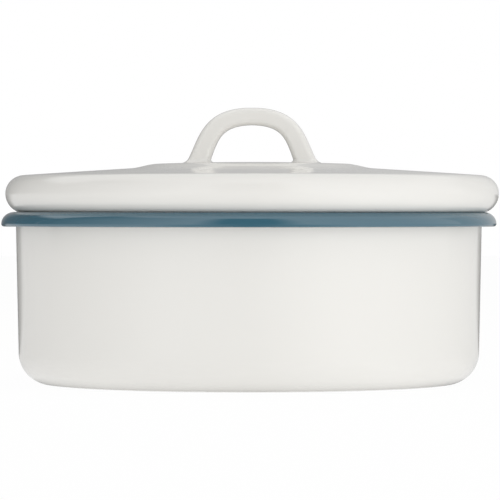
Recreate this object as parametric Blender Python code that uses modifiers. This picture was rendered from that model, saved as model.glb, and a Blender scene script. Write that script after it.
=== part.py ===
"""Covered casserole dish: a drawn, enamelled steel dish with a rolled rim, and a lift-off lid with a loop handle.

Metres, +Z up. The origin is the centre of the dish's foot, on the surface that it stands on.
The loop handle lies in the XZ plane.
"""

import math

import bmesh
import bpy

# Sheet and fits
SHEET = 0.0012            # enamelled sheet: the steel with a coat on each side
FIT_GAP = 0.0003          # gap left between faces that touch on the real dish

# Dish
MOUTH_RADIUS = 0.1210     # outside of the wall at its top
DISH_HEIGHT = 0.0896      # foot to the crest of the rim
WALL_DRAFT = math.radians(1.2)
CORNER_RADIUS = 0.0165    # outside of the bottom corner
FOOT_RING_WIDTH = 0.0130  # flat ring that the dish stands on
FLOOR_LIFT = 0.0008       # the floor inside that ring is pressed up by this
FLOOR_STEP_WIDTH = 0.0040

# Rolled rim
RIM_OVERHANG = 0.0075     # outside of the wall to the rim's edge
RIM_HEIGHT = 0.0082       # crest to the underside of the roll
RIM_BEND_RADIUS = 0.0018  # bend from the inside of the wall to the crest
RIM_HEM_RADIUS = 0.0018   # the roll's lower edge, turned under
RIM_HEM_ANGLE = math.radians(150)
RIM_LIP = 0.0012          # straight start of the rim, above the wall

# Lid, with heights above its seat
LID_INSET = 0.0004        # the lid's edge stands inside the rim's edge by this
LID_EDGE_HEIGHT = 0.0182  # the round edge, from its seat to its top
LID_EDGE_WIDEST = 0.0090  # height of the edge's widest line
LID_SHOULDER_DEPTH = 0.0100  # reach of the edge's upper curve
LID_SEAT_MARGIN = 0.0002  # flat seat outside the crest of the rim
LID_CROWN_RISE = 0.0038   # edge to the foot of the boss
SKIRT_PLAY = 0.0020       # radial play of the skirt in the mouth
SKIRT_DEPTH = 0.0080      # seat to the skirt's lower edge
SKIRT_BEND_RADIUS = 0.0012
BOSS_RADIUS = 0.0635      # raised middle of the lid, at its foot
BOSS_SHOULDER_WIDTH = 0.0140
BOSS_RISE = 0.0024        # over the shoulder
BOSS_CROWN = 0.0009       # rise from the shoulder to the middle

# Loop handle
LOOP_HEIGHT = 0.0282      # middle of the boss to the top of the loop
LOOP_FOOT_REACH = 0.0281  # lid's axis to the middle of each foot
LOOP_LEG_LEAN = math.radians(26)
LOOP_LEG_PULL = 0.0124    # how far the legs keep to their lean
LOOP_TOP_PULL = 0.0220    # how far the top keeps level
LOOP_TOP_THICKNESS = 0.0090
LOOP_LEG_THICKNESS = 0.0110
LOOP_TOP_WIDTH = 0.0140   # across the loop, along Y
LOOP_FULLNESS = 0.50      # 1 is an oval section, and less is nearer to a flat bar with round edges
FOOT_FILLET = 0.0018      # enamel fillet round each foot
FOOT_SINK = 0.0040        # the legs are made this much longer, then cut to the boss

# Facets
TURN_STEPS = 60
CORNER_STEPS = 6
RIM_STEPS = 5
EDGE_STEPS = 5
BEND_STEPS = 2
BOSS_STEPS = 4
LOOP_STEPS = 17
LOOP_CROWDING = 1.4       # over 1, the loop's sections stand closer together near its feet
LOOP_SIDES = 16

# Finishes: base colour in linear light, roughness
WHITE_ENAMEL = ((0.79, 0.78, 0.75), 0.12)
BLUE_ENAMEL = ((0.055, 0.135, 0.185), 0.10)

# Places that several pieces share
mouth_inside = MOUTH_RADIUS - SHEET
rim_crest = mouth_inside + RIM_BEND_RADIUS
rim_edge = MOUTH_RADIUS + RIM_OVERHANG
rim_start = DISH_HEIGHT - RIM_BEND_RADIUS - RIM_LIP
wall_top = rim_start - FIT_GAP
lid_seat = DISH_HEIGHT + FIT_GAP
lid_radius = rim_edge - LID_INSET
skirt_radius = mouth_inside - SKIRT_PLAY
lid_shift = SKIRT_PLAY - FIT_GAP  # the lid rests with its play taken up towards +X
boss_foot = LID_EDGE_HEIGHT + LID_CROWN_RISE
boss_top = boss_foot + BOSS_RISE + BOSS_CROWN


def ellipse(centre, reach, height, start, end, steps):
    """Points (r, z) on an ellipse, from angle start to angle end, measured up from +r."""
    angles = [start + (end - start) * i / steps for i in range(steps + 1)]
    return [(centre[0] + reach * math.cos(a), centre[1] + height * math.sin(a)) for a in angles]


def dish_profile():
    """The outside of the dish, from the top of the wall down to the middle of the floor."""
    slope = math.tan(WALL_DRAFT)
    wall_at_corner = MOUTH_RADIUS - (wall_top - CORNER_RADIUS) * slope
    corner = (wall_at_corner - CORNER_RADIUS / math.cos(WALL_DRAFT), CORNER_RADIUS)
    turn = ellipse(corner, CORNER_RADIUS, CORNER_RADIUS, -WALL_DRAFT, -math.pi / 2, CORNER_STEPS)
    ring_inside = corner[0] - FOOT_RING_WIDTH
    floor = [(ring_inside, 0.0), (ring_inside - FLOOR_STEP_WIDTH, FLOOR_LIFT), (0.0, FLOOR_LIFT)]
    return [(MOUTH_RADIUS, wall_top)] + turn + floor


def rim_profile():
    """The outside of the roll: up the inside of the mouth, over the crest, down, and turned under."""
    bend_centre = (rim_crest, DISH_HEIGHT - RIM_BEND_RADIUS)
    bend = ellipse(bend_centre, RIM_BEND_RADIUS, RIM_BEND_RADIUS, math.pi, math.pi / 2, BEND_STEPS)
    edge_height = DISH_HEIGHT - RIM_HEIGHT + RIM_HEM_RADIUS
    reach, height = rim_edge - rim_crest, DISH_HEIGHT - edge_height
    fall = ellipse((rim_crest, edge_height), reach, height, math.pi / 2, 0.0, RIM_STEPS)
    hem_centre = (rim_edge - RIM_HEM_RADIUS, edge_height)
    hem = ellipse(hem_centre, RIM_HEM_RADIUS, RIM_HEM_RADIUS, 0.0, -RIM_HEM_ANGLE, 2 * BEND_STEPS)
    return [(mouth_inside, rim_start)] + bend + fall[1:] + hem[1:]


def boss_profile():
    """The top of the boss, from the lid's axis over the shoulder to the foot."""
    shoulder_radius = BOSS_RADIUS - BOSS_SHOULDER_WIDTH
    points = []
    for i in range(BOSS_STEPS):
        share = i / BOSS_STEPS
        points.append((shoulder_radius * share, boss_top - BOSS_CROWN * share**2))
    for i in range(BOSS_STEPS + 1):
        share = i / BOSS_STEPS
        eased = share * share * (3 - 2 * share)
        points.append((shoulder_radius + BOSS_SHOULDER_WIDTH * share, boss_foot + BOSS_RISE * (1 - eased)))
    return points


def lid_profile():
    """The outside of the lid: the boss, the crown, the round edge, the flat seat and the skirt."""
    quarter = math.pi / 2
    shoulder = (lid_radius - LID_SHOULDER_DEPTH, LID_EDGE_WIDEST)
    upper_height = LID_EDGE_HEIGHT - LID_EDGE_WIDEST
    upper = ellipse(shoulder, LID_SHOULDER_DEPTH, upper_height, quarter, 0.0, EDGE_STEPS)
    seat_edge = (rim_crest + LID_SEAT_MARGIN, LID_EDGE_WIDEST)
    lower = ellipse(seat_edge, lid_radius - seat_edge[0], LID_EDGE_WIDEST, 0.0, -quarter, EDGE_STEPS)
    bend_centre = (skirt_radius + SKIRT_BEND_RADIUS, -SKIRT_BEND_RADIUS)
    bend = ellipse(bend_centre, SKIRT_BEND_RADIUS, SKIRT_BEND_RADIUS, quarter, math.pi, BEND_STEPS)
    return boss_profile() + upper + lower[1:] + bend + [(skirt_radius, -SKIRT_DEPTH)]


def loop_centreline():
    """Points (x, z) and thickness of the loop from one foot to the other: two cubic curves that meet at the top."""
    crest = boss_top + LOOP_HEIGHT - LOOP_TOP_THICKNESS / 2
    foot = (LOOP_FOOT_REACH, boss_top)
    leg_x = foot[0] - LOOP_LEG_PULL * math.sin(LOOP_LEG_LEAN)
    leg_z = foot[1] + LOOP_LEG_PULL * math.cos(LOOP_LEG_LEAN)
    sunk_x = foot[0] + FOOT_SINK * math.tan(LOOP_LEG_LEAN)
    half = [(sunk_x, foot[1] - FOOT_SINK, LOOP_LEG_THICKNESS + 2 * FOOT_FILLET)]
    for i in range(LOOP_STEPS + 1):
        t = (i / LOOP_STEPS) ** LOOP_CROWDING
        weights = ((1 - t) ** 3, 3 * (1 - t) ** 2 * t, 3 * (1 - t) * t * t, t**3)
        x = sum(w * v for w, v in zip(weights, (foot[0], leg_x, LOOP_TOP_PULL, 0.0)))
        z = sum(w * v for w, v in zip(weights, (foot[1], leg_z, crest, crest)))
        thickness = LOOP_LEG_THICKNESS + (LOOP_TOP_THICKNESS - LOOP_LEG_THICKNESS) * t
        rise = (z - foot[1]) / (2 * FOOT_FILLET)
        thickness += 2 * FOOT_FILLET * max(0.0, 1 - rise) ** 2
        half.append((x, z, thickness))
    return half + [(-x, z, thickness) for x, z, thickness in reversed(half[:-1])]


def finish(name, look):
    """A glossy enamel material."""
    material = bpy.data.materials.new(name)
    material.use_nodes = True
    shader = material.node_tree.nodes["Principled BSDF"]
    colour, roughness = look
    shader.inputs["Base Color"].default_value = (*colour, 1.0)
    shader.inputs["Roughness"].default_value = roughness
    shader.inputs["Metallic"].default_value = 0.0
    material.diffuse_color = (*colour, 1.0)
    return material


def place(obj, collection, carrier):
    """Links an object and sets it on the empty that carries it."""
    collection.objects.link(obj)
    obj.parent = carrier
    return obj


def turned(name, profile):
    """An object whose profile (r, z) is turned about Z."""
    mesh = bpy.data.meshes.new(name)
    mesh.from_pydata([(r, 0.0, z) for r, z in profile], [(i, i + 1) for i in range(len(profile) - 1)], [])
    obj = bpy.data.objects.new(name, mesh)
    turn = obj.modifiers.new("turn", "SCREW")
    turn.steps = TURN_STEPS
    turn.render_steps = TURN_STEPS
    turn.use_merge_vertices = True
    turn.merge_threshold = 0.00001
    turn.use_smooth_shade = True
    return obj


def turned_sheet(name, profile, material):
    """A turned piece of sheet: the profile is its outside, and the sheet's thickness lies inside that."""
    obj = turned(name, profile)
    wall = obj.modifiers.new("sheet", "SOLIDIFY")
    wall.thickness = SHEET
    wall.offset = -1.0
    wall.use_even_offset = True
    obj.data.materials.append(material)
    return obj


def helper(obj):
    """A guide or cutter, which isn't part of the object."""
    obj.hide_render = True
    obj.display_type = "WIRE"
    return obj


def filled(wave):
    """A sine or cosine drawn out towards its ends, which makes an oval fuller."""
    return math.copysign(abs(wave) ** LOOP_FULLNESS, wave)


def loop_section():
    """The full oval that is swept round the loop, at the size that it has at the top."""
    curve = bpy.data.curves.new("loop_section", "CURVE")
    curve.dimensions = "2D"
    curve.fill_mode = "NONE"
    spline = curve.splines.new("POLY")
    spline.points.add(LOOP_SIDES - 1)
    for i, point in enumerate(spline.points):
        angle = 2 * math.pi * i / LOOP_SIDES
        across = LOOP_TOP_WIDTH / 2 * filled(math.cos(angle))
        through = LOOP_TOP_THICKNESS / 2 * filled(math.sin(angle))
        point.co = (across, through, 0.0, 1.0)
    spline.use_cyclic_u = True
    return bpy.data.objects.new("loop_section", curve)


def boss_cutter():
    """The room that the boss takes under the handle's feet, with the fit gap."""
    top = [(r, z + FIT_GAP) for r, z in boss_profile()]
    return turned("boss_cutter", top + [(BOSS_RADIUS, 0.0), (0.0, 0.0)])


def weld(mesh):
    """Joins a swept curve's caps to its sides, with every face pointing out."""
    work = bmesh.new()
    work.from_mesh(mesh)
    bmesh.ops.remove_doubles(work, verts=work.verts, dist=0.00001)
    bmesh.ops.recalc_face_normals(work, faces=work.faces)
    work.to_mesh(mesh)
    work.free()


def as_mesh(curve_object, name):
    """The swept curve as a closed mesh object, and the curve removed."""
    graph = bpy.context.evaluated_depsgraph_get()
    mesh = bpy.data.meshes.new_from_object(curve_object.evaluated_get(graph))
    weld(mesh)
    curve = curve_object.data
    bpy.data.objects.remove(curve_object)
    bpy.data.curves.remove(curve)
    mesh.name = name
    return bpy.data.objects.new(name, mesh)


def loop_handle(parts, helpers, carrier, material):
    """The loop: a full oval swept along its centreline, cut at the feet to the curve of the boss."""
    section = helper(place(loop_section(), helpers, carrier))
    cutter = helper(place(boss_cutter(), helpers, carrier))
    curve = bpy.data.curves.new("loop_sweep", "CURVE")
    curve.dimensions = "3D"
    curve.bevel_mode = "OBJECT"
    curve.bevel_object = section
    curve.use_fill_caps = True
    points = loop_centreline()
    spline = curve.splines.new("POLY")
    spline.points.add(len(points) - 1)
    for point, (x, z, thickness) in zip(spline.points, points):
        point.co = (x, 0.0, z, 1.0)
        point.radius = thickness / LOOP_TOP_THICKNESS
    sweep = place(bpy.data.objects.new("loop_sweep", curve), helpers, None)
    bpy.context.view_layer.update()
    loop = place(as_mesh(sweep, "lid_handle"), parts, carrier)
    loop.data.materials.clear()
    loop.data.materials.append(material)
    loop.data.shade_smooth()
    cut = loop.modifiers.new("feet", "BOOLEAN")
    cut.operation = "DIFFERENCE"
    cut.object = cutter
    return loop


def build():
    """Clears the scene and makes the dish and its lid."""
    for obj in list(bpy.data.objects):
        bpy.data.objects.remove(obj, do_unlink=True)
    parts = bpy.data.collections.new("covered_casserole")
    helpers = bpy.data.collections.new("cutters")
    for collection in (parts, helpers):
        bpy.context.scene.collection.children.link(collection)
    white = finish("white_enamel", WHITE_ENAMEL)
    blue = finish("blue_enamel", BLUE_ENAMEL)

    foot_centre = place(bpy.data.objects.new("foot_centre", None), parts, None)
    place(turned_sheet("dish_shell", dish_profile(), white), parts, foot_centre)
    place(turned_sheet("rolled_rim", rim_profile(), blue), parts, foot_centre)

    lid_axis = place(bpy.data.objects.new("lid_axis", None), parts, foot_centre)
    lid_axis.location = (lid_shift, 0.0, lid_seat)
    place(turned_sheet("lid_shell", lid_profile(), white), parts, lid_axis)
    loop_handle(parts, helpers, lid_axis, white)
    bpy.context.view_layer.update()


build()
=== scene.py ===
"""Covered casserole dish: white enamelled steel with a slate-blue rolled rim, and a lift-off lid."""
import math

import bpy
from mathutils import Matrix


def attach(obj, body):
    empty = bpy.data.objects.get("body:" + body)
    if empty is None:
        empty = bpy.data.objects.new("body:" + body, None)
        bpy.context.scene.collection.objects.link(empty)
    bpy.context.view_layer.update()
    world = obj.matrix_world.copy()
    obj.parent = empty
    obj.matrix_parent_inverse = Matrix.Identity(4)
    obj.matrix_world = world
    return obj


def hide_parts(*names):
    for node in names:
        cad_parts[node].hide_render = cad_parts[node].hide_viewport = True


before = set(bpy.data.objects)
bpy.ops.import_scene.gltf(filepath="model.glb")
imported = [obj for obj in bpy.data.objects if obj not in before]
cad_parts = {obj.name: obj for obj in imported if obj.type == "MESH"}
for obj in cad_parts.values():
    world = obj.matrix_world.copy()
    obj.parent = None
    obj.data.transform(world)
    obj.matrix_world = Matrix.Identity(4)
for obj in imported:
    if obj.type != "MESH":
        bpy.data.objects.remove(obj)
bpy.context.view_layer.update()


# DISH
# One steel blank, drawn to a slightly tapered pan with a round bottom corner and a pressed-up floor.
# It is dipped in white enamel and fired, so that a glassy coat covers it inside and out.

dish_mouth_radius = 0.1210      # outside of the wall at its top
dish_wall_top = 0.0866          # where the rim's roll begins
dish_sheet = 0.0012
dish_draft = math.radians(1.2)
dish_corner_radius = 0.0165
dish_foot_ring = 0.0130         # flat ring that the dish stands on
dish_floor_lift = 0.0008        # the floor inside that ring is pressed up
dish_floor_step = 0.0040        # width of the slope up to it
dish_white = (0.790, 0.780, 0.750, 1.0)
dish_white_thin = (0.770, 0.755, 0.720, 1.0)
round_sides = 192               # of all turned pieces


def math_in(tree):
    """A function that adds a Math node to a tree and gives its result. It takes numbers and other results."""
    def worked_out(operation, a, b=None):
        node = tree.nodes.new("ShaderNodeMath")
        node.operation = operation
        for slot, value in zip(node.inputs, (a, b)):
            if isinstance(value, (int, float)):
                slot.default_value = value
            elif value is not None:
                tree.links.new(value, slot)
        return node.outputs[0]

    return worked_out


def skin_over_rings():
    """A tree that lays a skin over a row of oval rings. Each point of its line is a ring's middle, and
    carries the ring's two half-axes as the attributes across and along."""
    tree = bpy.data.node_groups.new("skin_over_rings", "GeometryNodeTree")
    socket = tree.interface.new_socket
    socket("Rings", in_out="INPUT", socket_type="NodeSocketGeometry")
    socket("Sides", in_out="INPUT", socket_type="NodeSocketInt")
    socket("Fullness", in_out="INPUT", socket_type="NodeSocketFloat")
    socket("Finish", in_out="INPUT", socket_type="NodeSocketMaterial")
    socket("Skin", in_out="OUTPUT", socket_type="NodeSocketGeometry")
    nodes, link = tree.nodes, tree.links.new
    sum_of = math_in(tree)

    given = nodes.new("NodeGroupInput")
    count = nodes.new("GeometryNodeAttributeDomainSize")
    link(given.outputs["Rings"], count.inputs["Geometry"])
    stride = sum_of("ADD", given.outputs["Sides"], 1)
    grid = nodes.new("GeometryNodeMeshGrid")
    link(count.outputs["Point Count"], grid.inputs["Vertices X"])
    link(stride, grid.inputs["Vertices Y"])
    index = nodes.new("GeometryNodeInputIndex").outputs[0]
    ring = sum_of("FLOOR", sum_of("DIVIDE", sum_of("ADD", index, 0.5), stride))
    side = sum_of("SUBTRACT", index, sum_of("MULTIPLY", ring, stride))
    turn = sum_of("MULTIPLY", sum_of("DIVIDE", side, given.outputs["Sides"]), 2 * math.pi)

    def of_ring(field):
        node = nodes.new("GeometryNodeSampleIndex")
        node.data_type = "FLOAT_VECTOR"
        node.domain = "POINT"
        link(given.outputs["Rings"], node.inputs["Geometry"])
        link(field, node.inputs["Value"])
        link(ring, node.inputs["Index"])
        return node.outputs[0]

    def named(name):
        node = nodes.new("GeometryNodeInputNamedAttribute")
        node.data_type = "FLOAT_VECTOR"
        node.inputs["Name"].default_value = name
        return node.outputs["Attribute"]

    def scaled(vector, factor):
        node = nodes.new("ShaderNodeVectorMath")
        node.operation = "SCALE"
        link(vector, node.inputs[0])
        link(factor, node.inputs["Scale"])
        return node.outputs[0]

    def added(a, b):
        node = nodes.new("ShaderNodeVectorMath")
        link(a, node.inputs[0])
        link(b, node.inputs[1])
        return node.outputs[0]

    def filled(wave):
        share = sum_of("POWER", sum_of("ABSOLUTE", wave), given.outputs["Fullness"])
        return sum_of("MULTIPLY", sum_of("SIGN", wave), share)

    place = added(
        of_ring(nodes.new("GeometryNodeInputPosition").outputs[0]),
        added(
            scaled(of_ring(named("across")), filled(sum_of("COSINE", turn))),
            scaled(of_ring(named("along")), filled(sum_of("SINE", turn))),
        ),
    )
    laid = nodes.new("GeometryNodeSetPosition")
    link(grid.outputs["Mesh"], laid.inputs["Geometry"])
    link(place, laid.inputs["Position"])
    closed = nodes.new("GeometryNodeMergeByDistance")
    closed.inputs["Distance"].default_value = 1e-6
    link(laid.outputs["Geometry"], closed.inputs["Geometry"])
    smooth = nodes.new("GeometryNodeSetShadeSmooth")
    link(closed.outputs["Geometry"], smooth.inputs["Geometry"])
    real = nodes.new("GeometryNodeRealizeInstances")
    link(smooth.outputs["Geometry"], real.inputs["Geometry"])
    coated = nodes.new("GeometryNodeSetMaterial")
    link(real.outputs["Geometry"], coated.inputs["Geometry"])
    link(given.outputs["Finish"], coated.inputs["Material"])
    link(coated.outputs["Geometry"], nodes.new("NodeGroupOutput").inputs["Skin"])
    return tree


ring_tree = skin_over_rings()


def skinned(name, rings, sides, finish, fullness=1.0):
    """A plain mesh object from rings, each given as (middle, across, along). Under a fullness of 1 the rings
    bulge past ovals."""
    line = bpy.data.meshes.new(name + "_rings")
    line.from_pydata([ring[0] for ring in rings], [(i, i + 1) for i in range(len(rings) - 1)], [])
    for which, attribute in ((1, "across"), (2, "along")):
        data = line.attributes.new(attribute, "FLOAT_VECTOR", "POINT").data
        for item, ring in zip(data, rings):
            item.vector = ring[which]
    guide = bpy.data.objects.new(name + "_rings", line)
    bpy.context.scene.collection.objects.link(guide)
    modifier = guide.modifiers.new("skin", "NODES")
    modifier.node_group = ring_tree
    identifiers = {item.name: item.identifier for item in ring_tree.interface.items_tree}
    modifier[identifiers["Sides"]] = sides
    modifier[identifiers["Fullness"]] = fullness
    modifier[identifiers["Finish"]] = finish
    graph = bpy.context.evaluated_depsgraph_get()
    mesh = bpy.data.meshes.new_from_object(guide.evaluated_get(graph))
    bpy.data.objects.remove(guide)
    bpy.data.meshes.remove(line)
    mesh.name = name
    piece = bpy.data.objects.new(name, mesh)
    bpy.context.scene.collection.objects.link(piece)
    return piece


def turned(name, section, finish, axis=0.0):
    """A piece turned about the vertical line at x = axis, from its section (r, z)."""
    return skinned(name, [((axis, 0, z), (r, 0, 0), (0, r, 0)) for r, z in section], round_sides, finish)


def straight(first, last, steps):
    """Points (r, z) on a straight line, with both its ends."""
    return [tuple(a + (b - a) * i / steps for a, b in zip(first, last)) for i in range(steps + 1)]


def arc(centre, reach, height, start, end, steps):
    """Points (r, z) on an ellipse, with its angles in degrees up from +r."""
    angles = [math.radians(start + (end - start) * i / steps) for i in range(steps + 1)]
    return [(centre[0] + reach * math.cos(a), centre[1] + height * math.sin(a)) for a in angles]


def eased(first, last, slope_first, slope_last, steps):
    """Points (r, z) on a smooth step that leaves and arrives at given slopes."""
    run = last[0] - first[0]
    points = []
    for i in range(steps + 1):
        t = i / steps
        keep = 2 * t**3 - 3 * t**2 + 1
        rise = (t**3 - 2 * t**2 + t) * slope_first + (t**3 - t**2) * slope_last
        points.append((first[0] + run * t, first[1] * keep + last[1] * (1 - keep) + run * rise))
    return points


def offset(path, distance):
    """The path moved to its left by a distance, square to its own direction."""
    moved = []
    for i, (r, z) in enumerate(path):
        before, after = path[max(i - 1, 0)], path[min(i + 1, len(path) - 1)]
        dr, dz = after[0] - before[0], after[1] - before[1]
        length = math.hypot(dr, dz)
        moved.append((r - distance * dz / length, z + distance * dr / length))
    return moved


def enamel_skin():
    """Fired enamel: faint clouds in its colour, slow waves and a fine orange peel in its surface, and an
    uneven gloss."""
    cloud_scale, gloss_scale, wave_scale, peel_scale = 17.0, 55.0, 42.0, 420.0
    gloss_spread = 0.05
    peel_share = 0.06               # of the waves' height
    group = bpy.data.node_groups.new("enamel_skin", "ShaderNodeTree")
    socket = group.interface.new_socket
    for name, kind in (
        ("Place", "NodeSocketVector"), ("Colour", "NodeSocketColor"), ("Thin colour", "NodeSocketColor"),
        ("Clouds", "NodeSocketFloat"), ("Gloss", "NodeSocketFloat"), ("Waves", "NodeSocketFloat"),
    ):
        socket(name, in_out="INPUT", socket_type=kind)
    for name, kind in (
        ("Colour", "NodeSocketColor"), ("Roughness", "NodeSocketFloat"), ("Height", "NodeSocketFloat"),
    ):
        socket(name, in_out="OUTPUT", socket_type=kind)
    nodes, link = group.nodes, group.links.new
    given, result = nodes.new("NodeGroupInput"), nodes.new("NodeGroupOutput")
    sum_of = math_in(group)

    def noise(scale, detail):
        node = nodes.new("ShaderNodeTexNoise")
        node.inputs["Scale"].default_value = scale
        node.inputs["Detail"].default_value = detail
        link(given.outputs["Place"], node.inputs["Vector"])
        return node.outputs["Fac"]

    tint = nodes.new("ShaderNodeMix")
    tint.data_type = "RGBA"
    link(sum_of("MULTIPLY", noise(cloud_scale, detail=3.0), given.outputs["Clouds"]), tint.inputs["Factor"])
    link(given.outputs["Colour"], tint.inputs["A"])
    link(given.outputs["Thin colour"], tint.inputs["B"])
    link(tint.outputs["Result"], result.inputs["Colour"])
    dulling = sum_of("MULTIPLY", noise(gloss_scale, detail=4.0), gloss_spread)
    link(sum_of("ADD", given.outputs["Gloss"], dulling), result.inputs["Roughness"])
    slow = sum_of("MULTIPLY", noise(wave_scale, detail=1.0), given.outputs["Waves"])
    peel_height = sum_of("MULTIPLY", given.outputs["Waves"], peel_share)
    peel = sum_of("MULTIPLY", noise(peel_scale, detail=1.0), peel_height)
    link(sum_of("ADD", slow, peel), result.inputs["Height"])
    return group


enamel_group = enamel_skin()


def enamel(name, colour, thin_colour, clouds, gloss, waves, axis=0.0, ior=1.52):
    """A material with the enamel's skin on a plain Principled shader. Its pattern is centred on x = axis."""
    material = bpy.data.materials.new(name)
    material.use_nodes = True
    nodes, link = material.node_tree.nodes, material.node_tree.links.new
    shader = nodes["Principled BSDF"]
    shader.inputs["IOR"].default_value = ior
    place = nodes.new("ShaderNodeMapping")
    place.inputs["Location"].default_value = (-axis, 0, 0)
    link(nodes.new("ShaderNodeTexCoord").outputs["Object"], place.inputs["Vector"])
    skin = nodes.new("ShaderNodeGroup")
    skin.node_tree = enamel_group
    link(place.outputs["Vector"], skin.inputs["Place"])
    for socket, value in (
        ("Colour", colour), ("Thin colour", thin_colour),
        ("Clouds", clouds), ("Gloss", gloss), ("Waves", waves),
    ):
        skin.inputs[socket].default_value = value
    bump = nodes.new("ShaderNodeBump")
    bump.inputs["Distance"].default_value = 0.001
    link(skin.outputs["Height"], bump.inputs["Height"])
    link(skin.outputs["Colour"], shader.inputs["Base Color"])
    link(skin.outputs["Roughness"], shader.inputs["Roughness"])
    link(bump.outputs["Normal"], shader.inputs["Normal"])
    return material


dish_corner = (
    dish_mouth_radius
    - (dish_wall_top - dish_corner_radius) * math.tan(dish_draft)
    - dish_corner_radius / math.cos(dish_draft),
    dish_corner_radius,
)
dish_ring_inside = dish_corner[0] - dish_foot_ring
dish_floor_edge = (dish_ring_inside - dish_floor_step, dish_floor_lift)
dish_outside = straight((0.0, dish_floor_lift), dish_floor_edge, 12)[:-1]
dish_outside += eased(dish_floor_edge, (dish_ring_inside, 0.0), 0.0, 0.0, 10)
dish_outside += straight((dish_ring_inside, 0.0), (dish_corner[0], 0.0), 4)[1:-1]
dish_outside += arc(dish_corner, dish_corner_radius, dish_corner_radius, -90, -math.degrees(dish_draft), 32)
dish_outside += straight(dish_outside[-1], (dish_mouth_radius, dish_wall_top), 24)[1:]
dish_section = dish_outside + offset(dish_outside, dish_sheet)[::-1]

dish_finish = enamel("dish_white_enamel", dish_white, dish_white_thin, clouds=0.5, gloss=0.07, waves=0.004)
dish = turned("dish_skin", dish_section, dish_finish)
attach(dish, "dish")
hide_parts("dish_shell")


# ROLLED RIM
# The edge of the dish's sheet, rolled outwards over the mouth and turned under, so that no cut edge shows.
# It is brushed with slate-blue enamel before the last firing, a little way down the inside of the mouth too.

rim_top = 0.08935
rim_overhang = 0.0075           # past the outside of the wall
rim_height = 0.00755
rim_bend = 0.0018               # from the inside of the mouth to the crest
rim_hem = 0.0014                # radius of the turned-under edge
rim_hem_turn = 150              # degrees that it turns
rim_blue = (0.024, 0.103, 0.152, 1.0)
rim_blue_thin = (0.042, 0.128, 0.174, 1.0)
rim_ior = 1.9                   # the blue glass reflects more than the white

rim_inside = dish_mouth_radius - dish_sheet
rim_crest = rim_inside + rim_bend
rim_edge = dish_mouth_radius + rim_overhang
rim_edge_height = rim_top - rim_height + rim_hem
rim_outside = straight((rim_inside, dish_wall_top), (rim_inside, rim_top - rim_bend), 4)[:-1]
rim_outside += arc((rim_crest, rim_top - rim_bend), rim_bend, rim_bend, 180, 90, 10)
rim_roll = arc((rim_crest, rim_edge_height), rim_edge - rim_crest, rim_top - rim_edge_height, 90, 0, 28)
rim_outside += rim_roll[1:]
rim_outside += arc((rim_edge - rim_hem, rim_edge_height), rim_hem, rim_hem, 0, -rim_hem_turn, 20)[1:]
rim_within = offset(rim_outside, -dish_sheet)
rim_end = [(a + b) / 2 for a, b in zip(rim_outside[-1], rim_within[-1])]
rim_end_turn = math.degrees(math.atan2(rim_outside[-1][1] - rim_end[1], rim_outside[-1][0] - rim_end[0]))
rim_cut = arc(rim_end, dish_sheet / 2, dish_sheet / 2, rim_end_turn, rim_end_turn - 180, 8)[1:-1]
rim_section = rim_outside + rim_cut + rim_within[::-1] + rim_outside[:1]

rim_finish = enamel(
    "rim_blue_enamel", rim_blue, rim_blue_thin, clouds=0.6, gloss=0.05, waves=0.004, ior=rim_ior,
)
rim = turned("rim_roll", rim_section, rim_finish)
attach(rim, "dish")
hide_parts("rolled_rim")


# LID
# Pressed from one blank: a low crown with a raised boss, a full round edge, a flat seat that lies on the
# rim, and a skirt that hangs in the mouth and centres it. The skirt's play is taken up towards +X.
# White enamel covers it all over.

lid_axis = 0.0017
lid_seat = rim_top + 0.00002    # clear of the rim by a hair
lid_radius = rim_edge - 0.0004
lid_edge_top = 0.1084
lid_edge_widest = 0.0989
lid_shoulder = 0.0100           # depth of the edge's upper round
lid_seat_edge = rim_crest + 0.0002
lid_lower_turn = 65             # degrees that the edge turns under before it meets the seat
lid_skirt_radius = rim_inside - 0.0020
lid_skirt_depth = 0.0080
lid_skirt_bend = 0.0012
crown_slope_in = -0.0630        # at the boss
crown_slope_out = -0.0655       # at the edge
boss_foot = (0.0635, 0.1119)
boss_shoulder = (0.0495, boss_foot[1] + 0.0024)
boss_top = boss_shoulder[1] + 0.0009
lid_white = (0.790, 0.780, 0.750, 1.0)
lid_white_thin = (0.770, 0.755, 0.720, 1.0)

boss_fall = (boss_top - boss_shoulder[1]) / boss_shoulder[0] ** 2
boss_slope = -2 * boss_fall * boss_shoulder[0]
lid_outside = []
boss_steps = 16
for i in range(boss_steps):
    boss_radius = boss_shoulder[0] * i / boss_steps
    lid_outside.append((boss_radius, boss_top - boss_fall * boss_radius**2))
lid_outside += eased(boss_shoulder, boss_foot, boss_slope, crown_slope_in, 20)

lid_upper_height = lid_edge_top - lid_edge_widest
lid_upper_start = 90 - math.degrees(math.atan(-crown_slope_out * lid_shoulder / lid_upper_height))
lid_upper_centre = (lid_radius - lid_shoulder, lid_edge_widest)
lid_upper = arc(lid_upper_centre, lid_shoulder, lid_upper_height, lid_upper_start, 0, 32)
lid_outside += eased(boss_foot, lid_upper[0], crown_slope_in, crown_slope_out, 16)[1:-1]
lid_outside += lid_upper

lid_lower_reach = (lid_radius - lid_seat_edge) / (1 - math.cos(math.radians(lid_lower_turn)))
lid_lower_height = (lid_edge_widest - lid_seat) / math.sin(math.radians(lid_lower_turn))
lid_lower_centre = (lid_radius - lid_lower_reach, lid_edge_widest)
lid_outside += arc(lid_lower_centre, lid_lower_reach, lid_lower_height, 0, -lid_lower_turn, 32)[1:]

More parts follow.
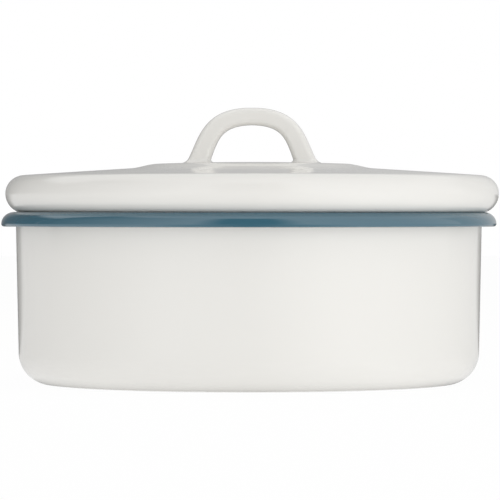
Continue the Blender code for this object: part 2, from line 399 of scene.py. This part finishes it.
lid_skirt_top = lid_seat - lid_skirt_bend
lid_skirt_end = lid_seat - lid_skirt_depth
lid_bend_centre = (lid_skirt_radius + lid_skirt_bend, lid_skirt_top)
lid_outside += arc(lid_bend_centre, lid_skirt_bend, lid_skirt_bend, 90, 180, 8)
lid_outside += straight((lid_skirt_radius, lid_skirt_top), (lid_skirt_radius, lid_skirt_end), 6)[1:]
lid_within = offset(lid_outside, -dish_sheet)
lid_within[0] = (0.0, lid_within[0][1])
lid_cut = arc((lid_skirt_radius - dish_sheet / 2, lid_skirt_end), dish_sheet / 2, dish_sheet / 2, 0, -180, 8)
lid_section = lid_outside + lid_cut[1:-1] + lid_within[::-1]

lid_finish = enamel(
    "lid_white_enamel", lid_white, lid_white_thin, clouds=0.5, gloss=0.07, waves=0.004, axis=lid_axis,
)
lid = turned("lid_skin", lid_section, lid_finish, lid_axis)
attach(lid, "lid")
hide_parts("lid_shell")


# LOOP HANDLE
# A bar with a full oval section, bent to a loop and welded to the boss by its two feet before enamelling.
# The enamel runs round each foot in a small hollow fillet.

loop_top = boss_top + 0.0282
loop_reach = 0.0281
loop_root = 0.0006                 # how far a foot goes into the boss
loop_lean = math.radians(26)
loop_leg_pull = 0.0124
loop_top_pull = 0.0220
loop_top_half = (0.0045, 0.0070)   # half thickness, half width along Y
loop_leg_half = (0.0055, 0.0086)
loop_fillet = 0.0024
loop_squaring = 0.0090             # height over which the rings turn level with the boss
loop_fullness = 0.50
loop_sides = 64
loop_steps = 72
loop_crowding = 1.8                # over 1, the rings lie closer together at the feet
loop_nudge = 0.001                 # share of the curve over which its direction is taken

loop_crest = loop_top - loop_top_half[0]
loop_foot = boss_top - boss_fall * loop_reach**2
loop_foot_tilt = -math.atan(2 * boss_fall * loop_reach)
loop_leg = (
    loop_reach - loop_leg_pull * math.sin(loop_lean),
    loop_foot + loop_leg_pull * math.cos(loop_lean),
)
loop_pulls = (
    (loop_reach, loop_leg[0], loop_top_pull, 0.0),
    (loop_foot, loop_leg[1], loop_crest, loop_crest),
)


def loop_centre(t):
    """The middle of the bar (x, z) at t, from 0 at the +X foot to 1 at the top."""
    weights = ((1 - t) ** 3, 3 * (1 - t) ** 2 * t, 3 * (1 - t) * t * t, t**3)
    return [sum(w * v for w, v in zip(weights, values)) for values in loop_pulls]


loop_half = [((loop_reach, 0, loop_foot - loop_root), (0, 0, 0), (0, 0, 0))]
for i in range(loop_steps + 1):
    t = (i / loop_steps) ** loop_crowding
    x, z = loop_centre(t)
    x_ahead, z_ahead = loop_centre(min(t + loop_nudge, 1.0))
    x_behind, z_behind = loop_centre(max(t - loop_nudge, 0.0))
    lean = math.atan2(x_behind - x_ahead, z_ahead - z_behind)
    height = z - loop_foot
    square = min(height / loop_squaring, 1.0)
    square = square * square * (3 - 2 * square)
    tilt = loop_foot_tilt + (lean - loop_foot_tilt) * square
    thick, wide = [leg + (top - leg) * t for leg, top in zip(loop_leg_half, loop_top_half)]
    short = max(loop_fillet - height, 0.0)
    flare = loop_fillet - math.sqrt(loop_fillet**2 - short**2)
    thick = thick / math.cos(lean - tilt) + flare
    loop_half.append(
        ((x, 0, z), (thick * math.cos(tilt), 0, thick * math.sin(tilt)), (0, wide + flare, 0))
    )
loop_rings = loop_half + [
    ((-x, 0, z), (-across[0], 0, across[2]), along) for (x, _, z), across, along in reversed(loop_half[:-1])
]
loop_rings = [((x + lid_axis, y, z), across, along) for (x, y, z), across, along in loop_rings]

loop_finish = enamel(
    "loop_white_enamel", lid_white, lid_white_thin, clouds=0.5, gloss=0.07, waves=0.004, axis=lid_axis,
)
loop = skinned("loop_bar", loop_rings, loop_sides, loop_finish, loop_fullness)
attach(loop, "lid")
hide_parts("lid_handle")


# STUDIO
# A pale floor that glows softly round the dish, a white surround, and five soft lamps. The lamps don't show
# in the enamel's gloss. What shows there is white, grey and black card on the floor, behind and in front.

floor_half = 6.0
floor_drop = 0.0001             # keeps it clear of the foot ring
floor_grey = 0.4
floor_white_share = 0.9         # of what the camera sees, the rest keeps the dish's shadow
table_light = 0.61
table_light_start = 0.088       # radius at which the floor's light begins, under the dish's edge; the unlit ring is painted contact shade
table_light_full = 0.108
surround_light = 0.55

floor_mesh = bpy.data.meshes.new("floor")
floor_corners = [(x * floor_half, y * floor_half, 0) for x, y in ((-1, -1), (1, -1), (1, 1), (-1, 1))]
floor_mesh.from_pydata(floor_corners, [], [(0, 1, 2, 3)])
floor = bpy.data.objects.new("floor", floor_mesh)
bpy.context.scene.collection.objects.link(floor)
floor.location.z = -floor_drop


def seen_directly(tree):
    """1 for what the camera sees, straight or in a glossy or clear surface, and 0 for light."""
    either = math_in(tree)
    path = tree.nodes.new("ShaderNodeLightPath").outputs
    straight_or_glossy = either("MAXIMUM", path["Is Camera Ray"], path["Is Glossy Ray"])
    return either("MAXIMUM", straight_or_glossy, path["Is Transmission Ray"])


floor_finish = bpy.data.materials.new("floor_paper")
floor_finish.use_nodes = True
nodes, link = floor_finish.node_tree.nodes, floor_finish.node_tree.links.new
nodes.clear()
paper = nodes.new("ShaderNodeBsdfDiffuse")
paper.inputs["Color"].default_value = (floor_grey, floor_grey, floor_grey, 1)
radius = nodes.new("ShaderNodeVectorMath")
radius.operation = "LENGTH"
link(nodes.new("ShaderNodeTexCoord").outputs["Object"], radius.inputs[0])
# The floor's glow fades to nothing under the dish's edge, as painted contact shade.
fade = nodes.new("ShaderNodeMapRange")
fade.interpolation_type = "SMOOTHSTEP"
fade.inputs["From Min"].default_value = table_light_start
fade.inputs["From Max"].default_value = table_light_full
fade.inputs["To Max"].default_value = table_light
link(radius.outputs["Value"], fade.inputs["Value"])
glow = nodes.new("ShaderNodeEmission")
link(fade.outputs["Result"], glow.inputs["Strength"])
lit_paper = nodes.new("ShaderNodeAddShader")
link(paper.outputs[0], lit_paper.inputs[0])
link(glow.outputs[0], lit_paper.inputs[1])
white_paper = nodes.new("ShaderNodeEmission")
white_paper.inputs["Strength"].default_value = 1.0
white_share = math_in(floor_finish.node_tree)(
    "MULTIPLY", seen_directly(floor_finish.node_tree), floor_white_share,
)
mixed = nodes.new("ShaderNodeMixShader")
link(white_share, mixed.inputs[0])
link(lit_paper.outputs[0], mixed.inputs[1])
link(white_paper.outputs[0], mixed.inputs[2])
link(mixed.outputs[0], nodes.new("ShaderNodeOutputMaterial").inputs["Surface"])
floor.data.materials.append(floor_finish)

world = bpy.data.worlds.new("surround")
bpy.context.scene.world = world
world.use_nodes = True
nodes, link = world.node_tree.nodes, world.node_tree.links.new
nodes.clear()
lit = nodes.new("ShaderNodeBackground")
lit.inputs["Strength"].default_value = surround_light
white = nodes.new("ShaderNodeBackground")
white.inputs["Strength"].default_value = 1.0
for background in (lit, white):
    background.inputs["Color"].default_value = (1, 1, 1, 1)
choice = nodes.new("ShaderNodeMixShader")
link(seen_directly(world.node_tree), choice.inputs[0])
link(lit.outputs[0], choice.inputs[1])
link(white.outputs[0], choice.inputs[2])
link(choice.outputs[0], nodes.new("ShaderNodeOutputWorld").inputs["Surface"])


def soft_box(name, azimuth, elevation, distance, width, height, radiance):
    """A rectangular lamp of even brightness that faces the dish. Azimuth 0 is the camera's side, and + is to
    the right."""
    aim_height = 0.07
    lamp = bpy.data.lights.new(name, "AREA")
    lamp.shape = "RECTANGLE"
    lamp.size = width
    lamp.size_y = height
    lamp.energy = radiance * math.pi * width * height
    obj = bpy.data.objects.new(name, lamp)
    a, e = math.radians(azimuth), math.radians(elevation)
    level = distance * math.cos(e)
    obj.location = (level * math.sin(a), -level * math.cos(a), aim_height + distance * math.sin(e))
    obj.rotation_euler = (math.pi / 2 - e, 0, a)
    obj.visible_glossy = False
    bpy.context.scene.collection.objects.link(obj)


soft_box("right_box", azimuth=52, elevation=19, distance=1.6, width=2.1, height=1.4, radiance=0.5)
soft_box("top_box", azimuth=0, elevation=90, distance=1.7, width=2.0, height=2.0, radiance=0.8)
soft_box("right_strip", azimuth=50, elevation=1, distance=1.6, width=1.9, height=0.2, radiance=3.6)
soft_box("left_strip", azimuth=-50, elevation=1, distance=1.6, width=1.9, height=0.2, radiance=2.5)
soft_box("middle_strip", azimuth=0, elevation=1, distance=1.9, width=1.3, height=0.2, radiance=3.5)


def sheen(name, azimuths, edges):
    """A ring-shaped sheet that shows only in the gloss of the enamel. Each of its edges is given as (radius,
    height, tones), with a tone for each azimuth and straight changes between them."""
    step = 3                        # degrees, about
    shares = []
    for i, (first, last) in enumerate(zip(azimuths, azimuths[1:])):
        count = max(round((last - first) / step), 1)
        shares += [(i, k / count) for k in range(count)]
    shares.append((len(azimuths) - 2, 1.0))

    def across(values):
        return [values[i] + (values[i + 1] - values[i]) * share for i, share in shares]

    turns = [math.radians(azimuth) for azimuth in across(azimuths)]
    width = len(turns)
    points = []
    shades = []
    for radius, height, tones in edges:
        points += [(radius * math.sin(a), -radius * math.cos(a), height) for a in turns]
        shades += across(tones)
    faces = [
        (row + i, row + i + 1, row + i + 1 + width, row + i + width)
        for row in range(0, width * (len(edges) - 1), width) for i in range(width - 1)
    ]
    mesh = bpy.data.meshes.new(name)
    mesh.from_pydata(points, [], faces)
    mesh.attributes.new("tone", "FLOAT", "POINT").data.foreach_set("value", shades)
    finish = bpy.data.materials.new(name)
    finish.use_nodes = True
    nodes, link = finish.node_tree.nodes, finish.node_tree.links.new
    nodes.clear()
    tone = nodes.new("ShaderNodeAttribute")
    tone.attribute_name = "tone"
    shine = nodes.new("ShaderNodeEmission")
    link(tone.outputs["Fac"], shine.inputs["Strength"])
    link(shine.outputs[0], nodes.new("ShaderNodeOutputMaterial").inputs["Surface"])
    mesh.materials.append(finish)
    sheet = bpy.data.objects.new(name, mesh)
    bpy.context.scene.collection.objects.link(sheet)
    sheet.visible_camera = False
    sheet.visible_diffuse = False
    sheet.visible_shadow = False


white_card = 1.0
grey_card = 0.7
black_card = 0.15
back_radius = 2.0               # the floor's card ends where the back's card stands
front_radius = 2.4
card_lift = 0.0006              # of the floor's card over the floor
contact_inside = 0.1035         # the painted contact shadow, a dark ring where the dish meets the floor, fades between these radii
contact_outside = 0.1150

floor_azimuths = (-112, -40, 0, 40, 112, 150, 156, 207, 214, 248)
floor_cards = (
    grey_card, white_card, black_card, white_card, grey_card,
    grey_card, black_card, black_card, grey_card, grey_card,
)
# The floor's card is black under the dish and fades in past its foot: a painted contact shadow in the gloss.
floor_contact_shade = (0.0,) * len(floor_azimuths)
sheen("floor_sheen", floor_azimuths, (
    (0.0, card_lift, floor_contact_shade),
    (contact_inside, card_lift, floor_contact_shade),
    (contact_outside, card_lift, floor_cards),
    (back_radius, card_lift, floor_cards),
))

back_azimuths = floor_azimuths[4:]
back_foot = floor_cards[4:]
back_wall = (grey_card, grey_card, grey_card, black_card, black_card, black_card)
back_white = (white_card,) * len(back_azimuths)
sheen("back_sheen", back_azimuths, (
    (back_radius, 0.0, back_foot),
    (back_radius, 0.05, back_foot),
    (back_radius, 0.09, back_wall),
    (back_radius, 1.2, back_wall),
    (back_radius, 1.5, back_white),
))

front_azimuths = (-112, -25, -12, 12, 25, 112)
front_cards = (black_card, white_card, black_card, black_card, white_card, white_card)
front_white = (white_card,) * len(front_azimuths)
sheen("front_sheen", front_azimuths, (
    (front_radius, 0.0, front_cards),
    (front_radius, 3.5, front_cards),
    (front_radius, 4.5, front_white),
))

camera_tilt = 0.553             # degrees down from level
camera = bpy.data.objects.new("camera", bpy.data.cameras.new("camera"))
camera.data.lens = 288.0
camera.data.sensor_width = 36.0
camera.data.clip_end = 100.0
camera.location = (0.00060, -2.08, 0.0896)
camera.rotation_euler = (math.radians(90 - camera_tilt), 0, 0)
bpy.context.scene.collection.objects.link(camera)
bpy.context.scene.camera = camera
bpy.context.scene.view_settings.view_transform = "Standard"
